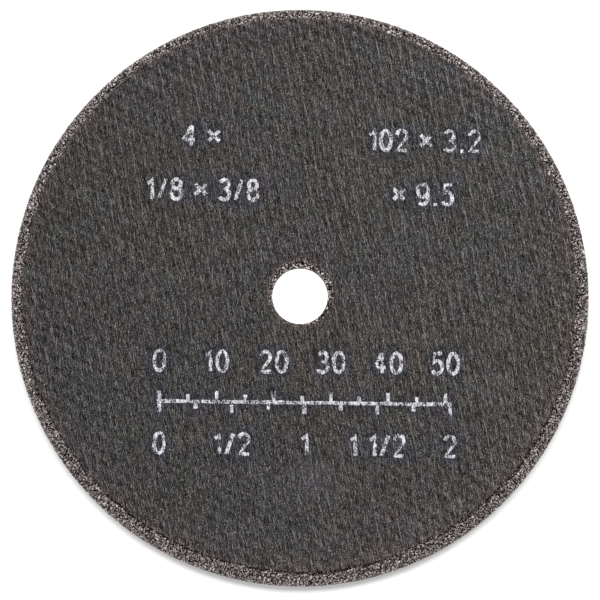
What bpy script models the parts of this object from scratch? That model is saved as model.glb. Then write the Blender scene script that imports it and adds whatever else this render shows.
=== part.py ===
"""A flat bonded abrasive wheel for a die grinder, moulded in one piece round a plain arbor bore.

The wheel lies on its back face with its bore upright on the Z axis. The origin is on that axis,
at the level of the back face. Each side has a smooth moulded facing, a little proud of the grain
and smaller than the wheel, so bare grain shows in a band outside it and in a ring round the bore.
The front facing lies a little off the wheel's centre. Past the facings the grain falls away in a
rounded shoulder to a narrow trued band at the rim.
"""

import math

import bpy

MM = 0.001

# The wheel's nominal sizes, in millimetres
WHEEL_DIAMETER = 101.6
WHEEL_THICKNESS = 3.175
ARBOR_DIAMETER = 9.525

# The bore is this much wider than the arbor, and its edges are broken this far
ARBOR_CLEARANCE = 0.225
BORE_BREAK = 0.3

# The facings: their outline, how proud they stand, and how far the front one lies off centre
FACING_DIAMETER = 97.6
FACING_HOLE_DIAMETER = 11.4
FACING_RISE = 0.12
FRONT_FACING_SHIFT_X = 0.09
FRONT_FACING_SHIFT_Y = 0.45

# The rim: the rounded shoulders and the trued band between them
SHOULDER_WIDTH = 1.5
TRUED_BAND_HEIGHT = 1.3

# The grain: how deep its hollows are on the shoulders and on the trued band, and how far apart
HOLLOW_DEPTH = 0.2
BAND_HOLLOW_DEPTH = 0.08
GRAIN_SPACING = 0.6

# Facets round each turned form, and rows of facets across each part of the rim
RIM_FACETS = 320
FACING_FACETS = 144
BORE_FACETS = 72
BARE_ROWS = 2
SHOULDER_ROWS = 3
BAND_ROWS = 2
BREAK_ROWS = 3

# Each facing is seated this far below the deepest hollow, and the bore's cutter runs past the wheel
FACING_SEAT = 0.1
CUTTER_OVERRUN = 2.0

MERGE_DISTANCE = 0.01
SHARP_ANGLE = math.radians(35.0)

RIM_RADIUS = WHEEL_DIAMETER / 2
SHOULDER_RADIUS = RIM_RADIUS - SHOULDER_WIDTH
FACING_RADIUS = FACING_DIAMETER / 2
FACING_HOLE_RADIUS = FACING_HOLE_DIAMETER / 2
BORE_RADIUS = (ARBOR_DIAMETER + ARBOR_CLEARANCE) / 2
GRAIN_TOP = WHEEL_THICKNESS - FACING_RISE
FACING_DEPTH = FACING_RISE + HOLLOW_DEPTH + FACING_SEAT
SHOULDER_DEPTH = (GRAIN_TOP - FACING_RISE - TRUED_BAND_HEIGHT) / 2

# The grain's relief starts under the front facing, inside the point where its edge lies furthest in
FRONT_FACING_SHIFT = math.hypot(FRONT_FACING_SHIFT_X, FRONT_FACING_SHIFT_Y)
RELIEF_RADIUS = FACING_RADIUS - FRONT_FACING_SHIFT - GRAIN_SPACING

FACING_COLOUR = (0.050, 0.050, 0.048, 1.0)
BARE_GRAIN_COLOUR = (0.125, 0.112, 0.108, 1.0)


def make_collection(name):
    collection = bpy.data.collections.new(name)
    bpy.context.scene.collection.children.link(collection)
    return collection


def make_material(name, colour, roughness):
    material = bpy.data.materials.new(name)
    material.use_nodes = True
    material.diffuse_color = colour
    shader = material.node_tree.nodes["Principled BSDF"]
    shader.inputs["Base Color"].default_value = colour
    shader.inputs["Roughness"].default_value = roughness
    shader.inputs["Metallic"].default_value = 0.0
    return material


def quarter_turns(rows):
    """Angles from 0 to a quarter turn, for the points of a rounded edge."""
    return [math.radians(90.0) * row / rows for row in range(rows + 1)]


def mirrored(points):
    """The same points on the other side of the wheel's middle plane, in the reverse order."""
    return [(point[0], WHEEL_THICKNESS - point[1], *point[2:]) for point in reversed(points)]


def core_profile():
    """The bare wheel's outline from the axis over the top, down the rim and back to the axis.

    Each point is (radius, height, grain), and grain is its share of the relief's full depth.
    """
    band_share = BAND_HOLLOW_DEPTH / HOLLOW_DEPTH
    upper = [(0.0, GRAIN_TOP, 0.0), (RELIEF_RADIUS, GRAIN_TOP, 0.0)]
    for row in range(1, BARE_ROWS):
        radius = RELIEF_RADIUS + (SHOULDER_RADIUS - RELIEF_RADIUS) * row / BARE_ROWS
        upper.append((radius, GRAIN_TOP, 1.0))
    for turn in quarter_turns(SHOULDER_ROWS):
        radius = SHOULDER_RADIUS + SHOULDER_WIDTH * math.sin(turn)
        height = GRAIN_TOP - SHOULDER_DEPTH * (1.0 - math.cos(turn))
        upper.append((radius, height, 1.0))
    upper[-1] = (*upper[-1][:2], band_share)

    band_top = upper[-1][1]
    middle = []
    for row in range(1, BAND_ROWS):
        middle.append((RIM_RADIUS, band_top - TRUED_BAND_HEIGHT * row / BAND_ROWS, band_share))
    return upper + middle + mirrored(upper)


def facing_profile():
    """The section of the front facing, closed back to its first point."""
    bottom = WHEEL_THICKNESS - FACING_DEPTH
    return [
        (FACING_HOLE_RADIUS, WHEEL_THICKNESS),
        (FACING_RADIUS, WHEEL_THICKNESS),
        (FACING_RADIUS, bottom),
        (FACING_HOLE_RADIUS, bottom),
    ]


def bore_profile():
    """The outline of the space that the bore takes, down its outer side from top to bottom."""
    mouth_radius = BORE_RADIUS + BORE_BREAK
    upper = [(0.0, WHEEL_THICKNESS + CUTTER_OVERRUN)]
    upper.append((mouth_radius, WHEEL_THICKNESS + CUTTER_OVERRUN))
    for turn in quarter_turns(BREAK_ROWS):
        radius = mouth_radius - BORE_BREAK * math.sin(turn)
        upper.append((radius, GRAIN_TOP - BORE_BREAK * (1.0 - math.cos(turn))))
    return upper + mirrored(upper)


def turned(name, outline, facets, collection, closed=False):
    """A solid of revolution about the Z axis, from (radius, height) points in millimetres."""
    corners = [(radius * MM, 0.0, height * MM) for radius, height in outline]
    edges = [(i, i + 1) for i in range(len(corners) - 1)]
    if closed:
        edges.append((len(corners) - 1, 0))
    mesh = bpy.data.meshes.new(name)
    mesh.from_pydata(corners, edges, [])
    piece = bpy.data.objects.new(name, mesh)
    collection.objects.link(piece)

    screw = piece.modifiers.new("Turn", "SCREW")
    screw.axis = "Z"
    screw.angle = math.radians(360.0)
    screw.steps = facets
    screw.render_steps = facets
    screw.use_merge_vertices = True
    screw.merge_threshold = MERGE_DISTANCE * MM
    return piece


def roughen(wheel, shares):
    """Sinks hollows between the grains of the bare rim, whose tops stay at the wheel's full size."""
    group = wheel.vertex_groups.new(name="bare_grain")
    for index, share in enumerate(shares):
        if share > 0.0:
            group.add([index], share, "REPLACE")

    grain = bpy.data.textures.new("Grain", "CLOUDS")
    grain.noise_basis = "CELL_NOISE"
    grain.noise_type = "SOFT_NOISE"
    grain.noise_depth = 0
    grain.noise_scale = GRAIN_SPACING * MM

    relief = wheel.modifiers.new("Grain", "DISPLACE")
    relief.texture = grain
    relief.texture_coords = "LOCAL"
    relief.direction = "NORMAL"
    relief.vertex_group = group.name
    relief.mid_level = 1.0
    relief.strength = HOLLOW_DEPTH * MM


def combine(wheel, tool, operation):
    """Joins a helping shape to the wheel, or cuts it out, and keeps it out of the finished part."""
    boolean = wheel.modifiers.new(tool.name, "BOOLEAN")
    boolean.operation = operation
    boolean.solver = "EXACT"
    boolean.object = tool
    tool.hide_render = True
    tool.display_type = "WIRE"


def settle(piece):
    """Puts the mesh that the modifiers make in the place of the outline and the modifiers."""
    depsgraph = bpy.context.evaluated_depsgraph_get()
    mesh = bpy.data.meshes.new_from_object(piece.evaluated_get(depsgraph))
    mesh.name = piece.name
    piece.modifiers.clear()
    piece.data = mesh


def dress(wheel):
    """Gives the tops of the two facings one material and all the bare grain another."""
    mesh = wheel.data
    mesh.materials.clear()
    mesh.materials.append(make_material("moulded_facing", FACING_COLOUR, 0.75))
    mesh.materials.append(make_material("bare_abrasive_grain", BARE_GRAIN_COLOUR, 0.9))
    facing_level = (WHEEL_THICKNESS - FACING_RISE) / 2 * MM
    middle = WHEEL_THICKNESS / 2 * MM
    for face in mesh.polygons:
        on_facing = abs(face.center.z - middle) > facing_level and abs(face.normal.z) > 0.999
        face.material_index = 0 if on_facing else 1
    mesh.shade_smooth()
    mesh.set_sharp_from_angle(angle=SHARP_ANGLE)


def main():
    for leftover in list(bpy.data.objects):
        bpy.data.objects.remove(leftover, do_unlink=True)
    parts = make_collection("die_grinder_wheel")
    helpers = make_collection("helping_shapes")

    core = core_profile()
    outline = [(radius, height) for radius, height, _ in core]
    wheel = turned("abrasive_wheel", outline, RIM_FACETS, parts)
    roughen(wheel, [grain for _, _, grain in core])

    section = facing_profile()
    front = turned("front_facing", section, FACING_FACETS, helpers, closed=True)
    front.location = (FRONT_FACING_SHIFT_X * MM, FRONT_FACING_SHIFT_Y * MM, 0.0)
    back = turned("back_facing", mirrored(section), FACING_FACETS, helpers, closed=True)
    bore = turned("bore_cutter", bore_profile(), BORE_FACETS, helpers)

    combine(wheel, front, "UNION")
    combine(wheel, back, "UNION")
    combine(wheel, bore, "DIFFERENCE")
    settle(wheel)
    dress(wheel)


main()
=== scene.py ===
"""The looks of a flat resin-bonded abrasive wheel for a die grinder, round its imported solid.

The wheel lies on its back facing with its bore upright. Its bare grain is modelled as a rough bond
with angular grains set in it, each facing as a thin fibrous disc with a ragged edge, and the
printed numbers as worn ink on the front facing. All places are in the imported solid's own frame,
and all sizes are in millimetres where nothing else is said.
"""

import logging
import math
from dataclasses import dataclass
from enum import Enum
from typing import Sequence

import bpy
import numpy as np
from mathutils.kdtree import KDTree
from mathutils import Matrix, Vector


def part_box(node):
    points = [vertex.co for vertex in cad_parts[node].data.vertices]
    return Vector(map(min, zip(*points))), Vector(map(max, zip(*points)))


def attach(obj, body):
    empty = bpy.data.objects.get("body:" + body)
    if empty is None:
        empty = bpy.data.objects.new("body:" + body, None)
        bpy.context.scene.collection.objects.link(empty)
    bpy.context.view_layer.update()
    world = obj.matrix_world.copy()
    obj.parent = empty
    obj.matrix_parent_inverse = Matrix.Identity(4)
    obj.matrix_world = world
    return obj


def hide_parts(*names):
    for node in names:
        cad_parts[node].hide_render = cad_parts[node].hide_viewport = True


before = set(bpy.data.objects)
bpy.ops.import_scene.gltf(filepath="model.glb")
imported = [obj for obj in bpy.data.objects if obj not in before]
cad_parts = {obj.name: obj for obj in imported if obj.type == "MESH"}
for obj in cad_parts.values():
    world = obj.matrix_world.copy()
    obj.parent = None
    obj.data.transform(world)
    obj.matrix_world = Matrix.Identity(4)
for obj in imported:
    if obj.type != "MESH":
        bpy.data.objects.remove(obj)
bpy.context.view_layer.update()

MM = 0.001
BODY = "root"
WHEEL_NODE = "abrasive_wheel"
PHOTO_SIDE = 600

Pair = tuple[float, float]
Point = tuple[float, float, float]
Colour = tuple[float, float, float, float]
Stops = tuple[tuple[float, Colour], ...]
Outline = list[Pair]
Socket = bpy.types.NodeSocket
Piece = bpy.types.Object

WHITE: Colour = (1.0, 1.0, 1.0, 1.0)
MIDDLE: Point = (0.5, 0.5, 0.5)
ONE: Point = (1.0, 1.0, 1.0)

logging.basicConfig(level=logging.INFO, format="%(relativeCreated)7d ms %(message)s")
log = logging.getLogger("wheel")


class Side(Enum):
    """The two flat sides of the wheel, with the sign of each one's outward Z."""

    FRONT = 1
    BACK = -1


@dataclass(frozen=True)
class WheelSizes:
    """The sizes that the wheel's pieces share.

    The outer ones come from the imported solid. The others repeat its construction, except that
    the front facing lies a little further left, as in the photo.
    """

    rim_radius: float
    thickness: float
    bore_radius: float = 4.875
    bore_break: float = 0.3
    facing_radius: float = 48.8
    facing_hole_radius: float = 5.7
    facing_rise: float = 0.12
    front_shift: Pair = (-0.05, 0.45)
    shoulder_width: float = 1.5
    trued_band: float = 1.3

    @classmethod
    def from_frame(cls, node: str) -> "WheelSizes":
        """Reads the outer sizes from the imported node's box.

        Args:
            node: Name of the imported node.

        Returns:
            The wheel's sizes.
        """
        low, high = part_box(node)
        across = max(high[0] - low[0], high[1] - low[1])
        return cls(rim_radius=across / 2 / MM, thickness=(high[2] - low[2]) / MM)

    @property
    def grain_top(self) -> float:
        """Height of the bare grain beside the front facing."""
        return self.thickness - self.facing_rise

    @property
    def shoulder_radius(self) -> float:
        """Radius at which the bare grain starts to fall away towards the rim."""
        return self.rim_radius - self.shoulder_width

    @property
    def shoulder_depth(self) -> float:
        """How far the rounded shoulder falls from the bare flat to the trued band."""
        return (self.grain_top - self.facing_rise - self.trued_band) / 2


class Bench:
    """Modelling steps that several pieces share."""

    # A turned form is spun as one sector, which is then doubled this many times
    DOUBLINGS = 6
    WELD = 0.0005 * MM

    @staticmethod
    def draw(name: str, *paths: Sequence[Point]) -> Piece:
        """Draws open outlines: for each one a plane is merged to a point and extruded along a path.

        Args:
            name: Name of the new piece.
            *paths: The points of each path.

        Returns:
            The new piece, left in edit mode.
        """
        bpy.ops.object.select_all(action="DESELECT")
        for path in paths:
            points = [tuple(part * MM for part in point) for point in path]
            bpy.ops.mesh.primitive_plane_add(size=MM)
            bpy.ops.object.mode_set(mode="EDIT")
            bpy.ops.mesh.merge(type="CENTER")
            bpy.ops.transform.translate(value=points[0])
            for here, there in zip(points, points[1:]):
                Bench.extrude(tuple(b - a for a, b in zip(here, there)))
        piece = bpy.context.object
        piece.name = piece.data.name = name
        return piece

    @staticmethod
    def extrude(step: Point) -> None:
        """Draws the outline on by one step, given in metres."""
        bpy.ops.mesh.extrude_vertices_move(TRANSFORM_OT_translate={"value": step})

    @classmethod
    def spin(cls, steps: int) -> None:
        """Spins the drawn outline round the bore's axis: one sector first, then doubled until it closes.

        Args:
            steps: How many steps one sector is made in.
        """
        turn = math.tau / 2**cls.DOUBLINGS
        bpy.ops.mesh.select_all(action="SELECT")
        bpy.ops.mesh.spin(steps=steps, angle=turn, center=(0, 0, 0), axis=(0, 0, 1))
        for doubling in range(cls.DOUBLINGS):
            bpy.ops.mesh.select_all(action="SELECT")
            bpy.ops.mesh.duplicate()
            bpy.ops.transform.rotate(
                value=turn * 2**doubling, orient_axis="Z", center_override=(0, 0, 0)
            )
        bpy.ops.mesh.select_all(action="SELECT")
        bpy.ops.mesh.remove_doubles(threshold=cls.WELD)
        cls.close_up()

    @staticmethod
    def close_up() -> None:
        """Turns every face outwards and goes back to object mode."""
        bpy.ops.mesh.select_all(action="SELECT")
        bpy.ops.mesh.normals_make_consistent(inside=False)
        bpy.ops.object.mode_set(mode="OBJECT")

    @staticmethod
    def weigh(piece: Piece, name: str, weights: np.ndarray, parts: int = 20) -> str:
        """Stores a weight for each vertex in a vertex group.

        Args:
            piece: The piece whose vertices are weighed.
            name: Name of the vertex group.
            weights: A weight from 0 to 1 for each vertex.
            parts: How many parts of 1 the weights are rounded to.

        Returns:
            The group's name.
        """
        group = piece.vertex_groups.new(name=name)
        steps = np.round(np.clip(weights, 0.0, 1.0) * parts).astype(int)
        for step in range(1, parts + 1):
            chosen = np.flatnonzero(steps == step)
            if len(chosen):
                group.add(chosen.tolist(), step / parts, "REPLACE")
        return group.name

    @staticmethod
    def roughen(
        piece: Piece, group: str, depth: float, name: str, kind: str, size: float, **settings: float
    ) -> None:
        """Sinks a piece's vertices along their normals by a texture, and applies the change.

        Args:
            piece: The piece to roughen.
            group: The vertex group that says where the relief acts.
            depth: The relief's full depth.
            name: The texture's name.
            kind: Its type.
            size: The size of its cells or clouds.
            **settings: Its other options.
        """
        texture = bpy.data.textures.new(name, kind)
        texture.noise_scale = size * MM
        for option, value in settings.items():
            setattr(texture, option, value)
        relief = piece.modifiers.new(name, "DISPLACE")
        relief.texture = texture
        relief.texture_coords = "LOCAL"
        relief.direction = "NORMAL"
        relief.vertex_group = group
        relief.strength = depth * MM
        relief.mid_level = 1.0
        bpy.context.view_layer.objects.active = piece
        bpy.ops.object.modifier_apply(modifier=relief.name)

    @staticmethod
    def places(piece: Piece) -> np.ndarray:
        """Reads a piece's vertices, one row for each."""
        found = np.empty(len(piece.data.vertices) * 3)
        piece.data.vertices.foreach_get("co", found)
        return found.reshape(-1, 3) / MM

    @staticmethod
    def put(piece: Piece, places: np.ndarray) -> None:
        """Moves a piece's vertices to new places, one row for each."""
        piece.data.vertices.foreach_set("co", (places * MM).ravel())
        piece.data.update()

    @staticmethod
    def note(piece: Piece, name: str, values: np.ndarray) -> None:
        """Stores one number for each vertex, which a material reads by its name."""
        attribute = piece.data.attributes.new(name, "FLOAT", "POINT")
        attribute.data.foreach_set("value", values.astype(np.float32))

    @staticmethod
    def bring(name: str, data: bpy.types.ID) -> Piece:
        """Puts a mesh, a lamp or a camera into the scene.

        Args:
            name: The new object's name.
            data: What it holds.

        Returns:
            The new object.
        """
        brought = bpy.data.objects.new(name, data)
        bpy.context.scene.collection.objects.link(brought)
        return brought

    @staticmethod
    def finish(piece: Piece, material: bpy.types.Material) -> Piece:
        """Dresses a piece and lets it ride with the wheel.

        Args:
            piece: The finished piece.
            material: The material for all of it.

        Returns:
            The same piece.
        """
        piece.data.materials.clear()
        piece.data.materials.append(material)
        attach(piece, BODY)
        log.info("%s: %d faces", piece.name, len(piece.data.polygons))
        return piece


class Graph:
    """Adds and links nodes in one shader tree or node group."""

    def __init__(self, tree: bpy.types.NodeTree) -> None:
        """Keeps the tree that the nodes go into."""
        self.tree = tree

    def fill(self, node: bpy.types.Node, inputs: dict) -> bpy.types.Node:
        """Gives a node's inputs their values or links.

        Args:
            node: The node.
            inputs: Input names or numbers, each with a value or another node's output.

        Returns:
            The same node.
        """
        for name, value in inputs.items():
            if isinstance(value, Socket):
                self.tree.links.new(value, node.inputs[name])
            else:
                node.inputs[name].default_value = value
        return node

    def add(self, kind: str, inputs: dict | None = None, **settings: object) -> bpy.types.Node:
        """Adds a node, sets its options and fills its inputs.

        Args:
            kind: The node's type name.
            inputs: Input names or numbers, each with a value or another node's output.
            **settings: Options of the node itself.

        Returns:
            The new node.
        """
        node = self.tree.nodes.new(kind)
        for name, value in settings.items():
            setattr(node, name, value)
        return self.fill(node, inputs or {})

    def use(self, group: bpy.types.NodeTree, **inputs: object) -> bpy.types.bpy_prop_collection:
        """Places a node group with its own inputs, and gives its outputs."""
        return self.add("ShaderNodeGroup", inputs, node_tree=group).outputs

    def note(self, name: str) -> Socket:
        """Reads the number that a piece's vertices carry under a name, or 0."""
        return self.add("ShaderNodeAttribute", attribute_name=name).outputs["Fac"]

    def math(self, operation: str, *values: object, clamp: bool = False) -> Socket:
        """Adds a Math node and gives its result, which is kept between 0 and 1 if clamp is set."""
        inputs = dict(enumerate(values))
        return self.add("ShaderNodeMath", inputs, operation=operation, use_clamp=clamp).outputs[0]

    def vector(self, operation: str, *values: object) -> Socket:
        """Adds a Vector Math node and gives its result, a number for a dot product or a length."""
        node = self.add("ShaderNodeVectorMath", dict(enumerate(values)), operation=operation)
        return node.outputs["Value" if operation in ("DOT_PRODUCT", "LENGTH") else "Vector"]

    def noise(
        self, place: object, scale: object, detail: float = 1.0, roughness: float = 0.5, out: str = "Fac"
    ) -> Socket:
        """Adds a noise texture.

        Args:
            place: Where the noise is read.
            scale: How many of its cells lie in one unit.
            detail: How many finer layers it has.
            roughness: How strong the finer layers are.
            out: Which of its outputs is wanted.

        Returns:
            That output.
        """
        inputs = {"Vector": place, "Scale": scale, "Detail": detail, "Roughness": roughness}
        return self.add("ShaderNodeTexNoise", inputs).outputs[out]

    def spread(self, value: object, low: float, high: float) -> Socket:
        """Stretches a value so that low becomes 0 and high becomes 1, and clips it there."""
        inputs = {"Value": value, "From Min": low, "From Max": high}
        return self.add("ShaderNodeMapRange", inputs, clamp=True).outputs[0]

    def blend(self, share: object, first: object, second: object, how: str = "MIX") -> Socket:
        """Mixes two colours: the first shows where the share is 0, the second where it is 1."""
        inputs = {0: share, 6: first, 7: second}
        return self.add("ShaderNodeMix", inputs, data_type="RGBA", blend_type=how).outputs[2]

    def show(self, colour: object, mask: Socket, share: float, other: object) -> Socket:
        """Lets a share of another colour show where the mask is 1."""
        return self.blend(self.math("MULTIPLY", mask, share), colour, other)

    def tint(self, colour: object, mask: Socket, by: Colour) -> Socket:
        """Multiplies a colour by another where the mask is 1."""
        return self.blend(1.0, colour, self.blend(mask, WHITE, by), "MULTIPLY")

    def ramp(self, value: object, stops: Stops) -> Socket:
        """Turns a value from 0 to 1 into a colour.

        Args:
            value: The value.
            stops: Where each colour lies. The first two are the ends.

        Returns:
            The colour.
        """
        node = self.add("ShaderNodeValToRGB", {"Fac": value})
        elements = node.color_ramp.elements
        for index, (position, colour) in enumerate(stops):
            element = elements[index] if index < 2 else elements.new(position)
            element.position = position
            element.color = colour
        return node.outputs["Color"]


class EffectGroup(Graph):
    """A shader node group in the making. It takes a place in millimetres and values of its own."""

    def __init__(self, name: str, **inputs: float) -> None:
        """Starts the group.

        Args:
            name: Its name.
            **inputs: The names of its values, and what each is where nothing is given.
        """
        super().__init__(bpy.data.node_groups.new(name, "ShaderNodeTree"))
        self._socket("Place", "INPUT", "NodeSocketVector")
        for label, value in inputs.items():
            self._socket(label, "INPUT").default_value = value
        self.given = self.add("NodeGroupInput").outputs

    def _socket(
        self, label: str, way: str, kind: str = "NodeSocketFloat"
    ) -> bpy.types.NodeTreeInterfaceSocket:
        """Adds one socket to the group's outside."""
        return self.tree.interface.new_socket(label, in_out=way, socket_type=kind)

    def end(self, **outputs: Socket) -> bpy.types.NodeTree:
        """Ends the group.

        Args:
            **outputs: The values that it puts out.

        Returns:
            The group.
        """
        for label in outputs:
            self._socket(label, "OUTPUT")
        self.fill(self.add("NodeGroupOutput"), outputs)
        return self.tree


class Effects:
    """Shader node groups that more than one finish uses, each built once."""

    # How the fibres lean and wander, and how far beside its light side a streak has its dark one
    LEAN = math.radians(-11.0)
    SWAY_SCALE = 0.3
    SWAY = (0.9, 0.6, 0.0)
    BESIDE = (0.8, 0.0, 0.0)

    # Where fibres, slits and clouds are cut from the noise, and how each is drawn out
    LAYERS = (
        ((17.0, 9.0, 4.0), (0.55, 0.55, 1.0)),
        ((5.0, 31.0, 8.0), (0.8, 1.7, 1.0)),
        ((40.0, 3.0, 2.0), (0.62, 0.30, 1.0)),
    )
    FIBRE_SHARPNESS = 16.0
    SLIT_RANGE = (0.38, 0.29)

    # The pressing cloth's ribs and the ripples across them: their direction in degrees, their spacing
    RIB = (11.2, 1.83)
    RIPPLES = ((63.2, 1.76), (25.4, 0.896), (18.1, 1.264))
    FINE_RIPPLE = 0.75

    # How sharp a rib is, and the sharpness, depth and turn of phase of the painted shadow beside it
    RIB_SHARPNESS = 15.0
    GROOVE = (6.0, -0.25, math.radians(95.0))

    # How far the cloth lay askew, and how unevenly it was pressed
    DRIFT_SCALE = 0.03
    DRIFT = (1.6, 1.6, 0.0)
    FIRMNESS_SCALE = 0.06

    # The ribs press deeper this way, for each millimetre, and the ripples outwards to this radius
    RIB_FADE = (0.004, 0.008, 0.0)
    RIB_FIRMNESS = 2.0
    LEAST_RIB = 0.2
    RIPPLE_REACH = 48.0
    RIPPLE_GAIN = 1.3
    RIPPLE_FIRMNESS = (2.5, -0.7)
    LEAST_RIPPLE = 0.1

    # How rough grit is, how deep its cells are, and which of them stand out how far as specks
    GRIT_DETAIL = (3.0, 0.65)
    CELL_DEPTH = 0.5
    SPECK_PICK = (0.9, 1.0)
    SPECK_SIZE = (0.45, 0.25)

    def __init__(self) -> None:
        """Builds the groups."""
        self.fibres = self._fibres()
        self.cloth = self._cloth()
        self.grit = self._grit()

    def _fibres(self) -> bpy.types.NodeTree:
        """Builds the pressed fibre mat: leaning streaks, dark slits, pale fibres, speckle and cloud.

        Returns:
            The node group.
        """
        group = EffectGroup("pressed_fibre", Width=0.17, Length=1.6, Speckle=0.17)
        given = group.given
        turned = group.add(
            "ShaderNodeVectorRotate",
            {"Vector": given["Place"], "Angle": self.LEAN},
            rotation_type="Z_AXIS",
        ).outputs[0]
        sway = group.noise(turned, self.SWAY_SCALE, 2.0, out="Color")
        sway = group.vector("MULTIPLY", group.vector("SUBTRACT", sway, MIDDLE), self.SWAY)
        across, along, fineness = (
            group.math("DIVIDE", 1.0, given[label]) for label in ("Width", "Length", "Speckle")
        )
        stretch = group.add("ShaderNodeCombineXYZ", {"X": across, "Y": along, "Z": 1.0}).outputs[0]
        mat = group.vector("MULTIPLY", group.vector("ADD", turned, sway), stretch)
        light, dark = (group.noise(spot, 1.0) for spot in (mat, group.vector("ADD", mat, self.BESIDE)))
        ridge, broken_edge_shadow, cloud = (
            group.noise(group.vector("MULTIPLY", group.vector("ADD", mat, shift), scale), 1.0)
            for shift, scale in self.LAYERS
        )
        off = group.math("ABSOLUTE", group.math("MULTIPLY_ADD", ridge, 2.0, -1.0))
        return group.end(
            Streak=group.math("ADD", group.math("SUBTRACT", light, dark), 0.5),
            Slit=group.spread(broken_edge_shadow, *self.SLIT_RANGE),
            Fibre=group.math("POWER", group.math("SUBTRACT", 1.0, off), self.FIBRE_SHARPNESS),
            Speckle=group.noise(turned, fineness),
            Cloud=cloud,
        )

    def _cloth(self) -> bpy.types.NodeTree:
        """Builds the mark of the cloth that the facing was pressed against: ribs, each with a painted
        shadow beside it, and ripples.

        Returns:
            The node group.
        """
        group = EffectGroup("pressed_cloth")
        place = group.given["Place"]
        drift = group.vector("SUBTRACT", group.noise(place, self.DRIFT_SCALE, out="Color"), MIDDLE)
        firmness = group.noise(place, self.FIRMNESS_SCALE, out="Color")
        firmness = group.add("ShaderNodeSeparateColor", {0: firmness}).outputs
        place = group.vector("ADD", place, group.vector("MULTIPLY", drift, self.DRIFT))
        phases = []
        for angle, spacing in (self.RIB, *self.RIPPLES):
            turn = math.radians(angle)
            way = tuple(part * math.tau / spacing for part in (math.cos(turn), math.sin(turn), 0.0))
            phases.append(group.vector("DOT_PRODUCT", place, way))
        # Painted shadow: a dark line on one side of each rib
        sharpness, depth, lag = self.GROOVE
        rib_shadow = self._ridge(group, group.math("ADD", phases[0], lag), sharpness)
        rib = self._ridge(group, phases[0], self.RIB_SHARPNESS)
        rib = group.math("MULTIPLY_ADD", rib_shadow, depth, rib)
        lean = group.vector("DOT_PRODUCT", place, self.RIB_FADE)
        firm = group.math("MULTIPLY_ADD", firmness[0], self.RIB_FIRMNESS, lean)
        rib = group.math("MULTIPLY", rib, group.math("MAXIMUM", firm, self.LEAST_RIB))
        outwards = group.math("DIVIDE", group.vector("LENGTH", place), self.RIPPLE_REACH)
        firm = group.math("MULTIPLY_ADD", firmness[1], *self.RIPPLE_FIRMNESS)
        firm = group.math("MULTIPLY_ADD", group.math("POWER", outwards, 2.0), self.RIPPLE_GAIN, firm)
        firm = group.math("MAXIMUM", firm, self.LEAST_RIPPLE)
        ripple = group.math("MULTIPLY", group.math("COSINE", phases[1]), firm)
        for phase in phases[2:]:
            wave = group.math("COSINE", phase)
            ripple = group.math("MULTIPLY_ADD", wave, self.FINE_RIPPLE, ripple)
        return group.end(Rib=rib, Ripple=ripple)

    @staticmethod
    def _ridge(group: Graph, phase: object, sharpness: float) -> Socket:
        """Turns a phase into narrow ridges, 1 at their tops and 0 between them."""
        half = group.math("MULTIPLY_ADD", group.math("COSINE", phase), 0.5, 0.5)
        return group.math("POWER", half, sharpness)

    def _grit(self) -> bpy.types.NodeTree:
        """Builds fine broken grit: a height, and specks that stand out of it.

        Returns:
            The node group.
        """
        group = EffectGroup("fine_grit", Size=0.25)
        place = group.given["Place"]
        per_size = group.math("DIVIDE", 1.0, group.given["Size"])
        cells = group.add("ShaderNodeTexVoronoi", {"Vector": place, "Scale": per_size}).outputs
        rough = group.noise(place, per_size, *self.GRIT_DETAIL)
        sunk = group.math("MULTIPLY", cells["Distance"], self.CELL_DEPTH)
        picked = group.add("ShaderNodeSeparateColor", {0: cells["Color"]}).outputs[0]
        near = group.spread(cells["Distance"], *self.SPECK_SIZE)
        return group.end(
            Height=group.math("SUBTRACT", rough, sunk),
            Speck=group.math("MULTIPLY", group.spread(picked, *self.SPECK_PICK), near),
        )


def new_material(name: str) -> tuple[bpy.types.Material, Graph, bpy.types.Node, Socket]:
    """Starts a material.

    Args:
        name: Its name.

    Returns:
        The material, its graph, its Principled BSDF and the surface's own place in metres.
    """
    material = bpy.data.materials.new(name)
    material.use_nodes = True
    graph = Graph(material.node_tree)
    place = graph.add("ShaderNodeTexCoord").outputs["Object"]
    return material, graph, material.node_tree.nodes["Principled BSDF"], place


@dataclass(frozen=True)
class Finish:
    """What the wheel's finishes share: a Principled BSDF with a colour and a fine relief."""

    name: str
    roughness: float
    specular: float
    bump: float = 1.0
    relief: float = 0.03

    def make(self, effects: Effects) -> bpy.types.Material:
        """Builds the material.

        Args:
            effects: The shared node groups.

        Returns:
            The material.
        """
        material, graph, shader, place = new_material(self.name)
        place = graph.vector("MULTIPLY", place, (1 / MM, 1 / MM, 1 / MM))
        colour, height = self.surface(graph, effects, place)
        inputs = {"Strength": self.bump, "Distance": self.relief * MM, "Height": height}
        normal = graph.add("ShaderNodeBump", inputs).outputs[0]
        graph.fill(
            shader,
            {
                "Roughness": self.roughness,
                "Specular IOR Level": self.specular,
                "Base Color": colour,
                "Normal": normal,
            },
        )
        return material

    def surface(self, graph: Graph, effects: Effects, place: Socket) -> tuple[Socket, Socket]:
        """Builds the finish's own look.

        Args:
            graph: The material's graph.
            effects: The shared node groups.
            place: The surface's place.

        Returns:
            The colour and the height of the fine relief.
        """
        raise NotImplementedError


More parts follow.
